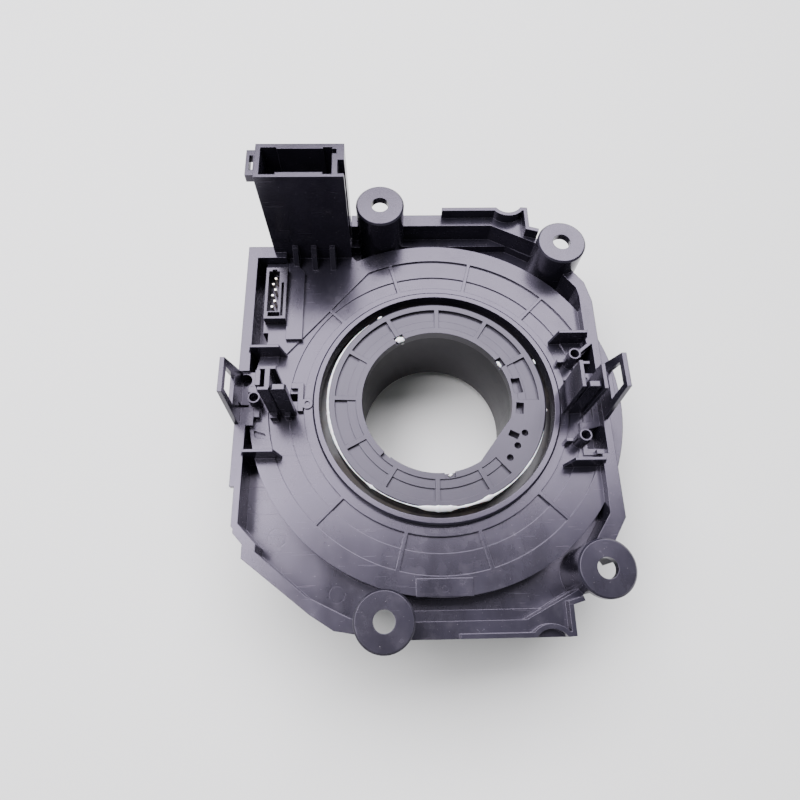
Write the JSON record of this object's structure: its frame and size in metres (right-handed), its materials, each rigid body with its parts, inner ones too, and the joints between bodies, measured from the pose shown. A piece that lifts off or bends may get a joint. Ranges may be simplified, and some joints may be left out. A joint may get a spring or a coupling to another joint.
{
  "type": "steering clock spring",
  "caption": "Steering clock spring seen from its column side: black moulded housing with screw ears, a tall connector shroud, stalk switch brackets and a ribbed disc round the turning rotor.",
  "frame": {"origin": "on the steering axis, in the plane of the rear face of the rotor's ring", "axes": "+Z along the steering axis towards the column; +X right and +Y up as the unit sits behind the steering wheel's column side view, with the tall connector at -X +Y"},
  "size_m": [0.1145, 0.1362, 0.0711],
  "materials": {
    "black_plastic": "satin",
    "natural_plastic": "satin",
    "header_plastic": "satin",
    "magnet": "satin",
    "board": "gloss",
    "chip": "matte",
    "pin_tin": "satin",
    "tape": "gloss",
    "slide_film": "satin",
    "airbag_yellow": "satin"
  },
  "bodies": {
    "stator": {"rear_housing": "black_plastic", "cable_case": "black_plastic", "sensor_board": "board", "sensor_chips": "chip", "sensor_header": "header_plastic", "sensor_header_pins": "pin_tin", "rear_slide_sheet": "slide_film", "stator_lead_block": "black_plastic", "main_terminals": "pin_tin"},
    "rotor": {"rotor": "black_plastic", "rotor_ring": "black_plastic", "sensor_drive_gear": "black_plastic", "signal_tape": "tape", "airbag_tape": "tape", "front_slide_sheet": "slide_film", "rotor_lead_block": "black_plastic", "wheel_switch_socket": "black_plastic", "wheel_switch_pins": "pin_tin", "airbag_socket_right": "airbag_yellow", "airbag_socket_left": "airbag_yellow", "airbag_pins_right": "pin_tin", "airbag_pins_left": "pin_tin"},
    "measuring_gear_a": {"measuring_gear_a": "natural_plastic", "magnet_a": "magnet"},
    "measuring_gear_b": {"measuring_gear_b": "natural_plastic", "magnet_b": "magnet"}
  },
  "joints": [
    {"name": "rotor_spin", "type": "hinge", "parent": "stator", "child": "rotor", "pos_m": [0, 0, 0], "axis": [0, 0, 1], "range_deg": [-900, 900], "deforming": ["signal_tape", "airbag_tape"]},
    {"name": "gear_a_spin", "type": "hinge", "parent": "stator", "child": "measuring_gear_a", "pos_m": [-0.02266, 0.03771, -0.0095], "axis": [0, 0, 1], "range_deg": [-5702, 5702]},
    {"name": "gear_b_spin", "type": "hinge", "parent": "stator", "child": "measuring_gear_b", "pos_m": [-0.03814, 0.02292, -0.0095], "axis": [0, 0, 1], "range_deg": [-5263.5, 5263.5]}
  ],
  "couplings": [
    {"joint": "gear_a_spin", "follows": "rotor_spin", "ratio": -6.3333},
    {"joint": "gear_b_spin", "follows": "rotor_spin", "ratio": -5.8462}
  ]
}
